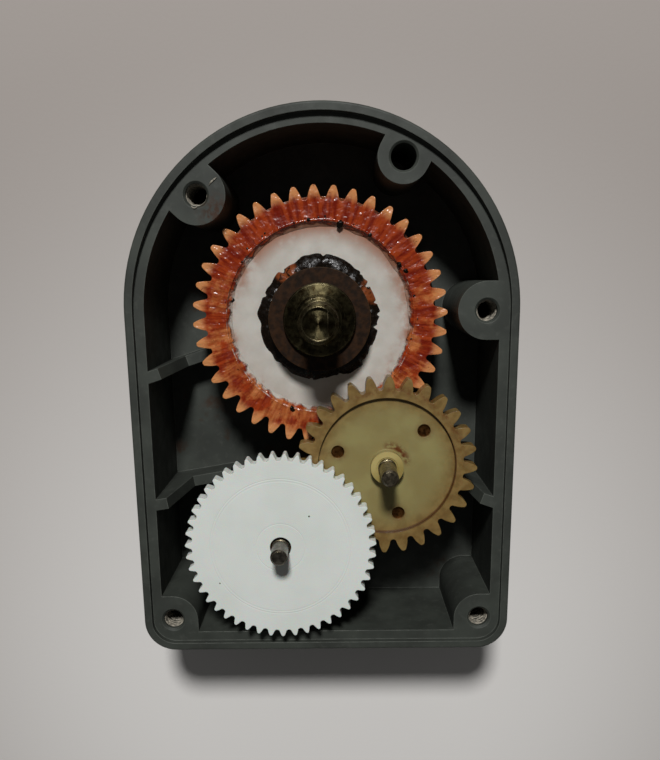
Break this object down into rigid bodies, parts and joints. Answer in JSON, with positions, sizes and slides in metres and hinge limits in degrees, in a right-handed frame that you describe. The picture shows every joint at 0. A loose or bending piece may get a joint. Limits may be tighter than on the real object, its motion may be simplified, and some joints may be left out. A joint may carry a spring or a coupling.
{
  "type": "garage door opener gear case",
  "caption": "Open D-shaped gear case of a garage door opener with meshing plastic gears on steel shafts, cover removed.",
  "frame": {"origin": "centre of the case's outline on its flat underside", "axes": "+Z out of the case's open side along all the shafts, +Y towards the round end of the case"},
  "size_m": [0.126, 0.1784, 0.0691],
  "materials": {
    "case_plastic": "satin moulded dark grey",
    "stained_nylon": "greasy",
    "aged_nylon": "satin",
    "white_acetal": "satin",
    "shaft_steel": "turned, oily",
    "pin_steel": "ground",
    "pinion_steel": "sintered, oily",
    "bronze": "dull sintered bronze",
    "brown_disc": "grease-soaked"
  },
  "bodies": {
    "case": {"gear_case": "case_plastic", "output_bush": "bronze", "output_lower_washer": "shaft_steel", "intermediate_axle": "pin_steel", "intermediate_spacer": "pin_steel", "input_axle": "pin_steel", "input_spacer": "aged_nylon"},
    "output": {"output_shaft": "shaft_steel", "output_gear": "stained_nylon", "output_hub_sleeve": "shaft_steel", "output_key": "shaft_steel", "output_thrust_disc": "brown_disc", "output_collar": "shaft_steel", "output_retaining_ring": "shaft_steel"},
    "intermediate": {"intermediate_gear": "aged_nylon", "intermediate_pinion": "pinion_steel", "intermediate_drive_pins": "pin_steel", "intermediate_bush": "bronze"},
    "input": {"input_gear": "white_acetal", "input_pinion": "pinion_steel", "input_bush": "bronze"}
  },
  "joints": [
    {"name": "output_spin", "type": "hinge", "parent": "case", "child": "output", "pos_m": [-0.0007, 0.0243, 0.02], "axis": [0, 0, 1], "continuous": true},
    {"name": "intermediate_spin", "type": "hinge", "parent": "case", "child": "intermediate", "pos_m": [0.02103, -0.02404, 0.02], "axis": [0, 0, 1], "continuous": true},
    {"name": "input_spin", "type": "hinge", "parent": "case", "child": "input", "pos_m": [-0.01462, -0.04984, 0.02], "axis": [0, 0, 1], "continuous": true}
  ],
  "couplings": [
    {"joint": "intermediate_spin", "follows": "output_spin", "ratio": -3.0769},
    {"joint": "input_spin", "follows": "output_spin", "ratio": 5.3846}
  ]
}
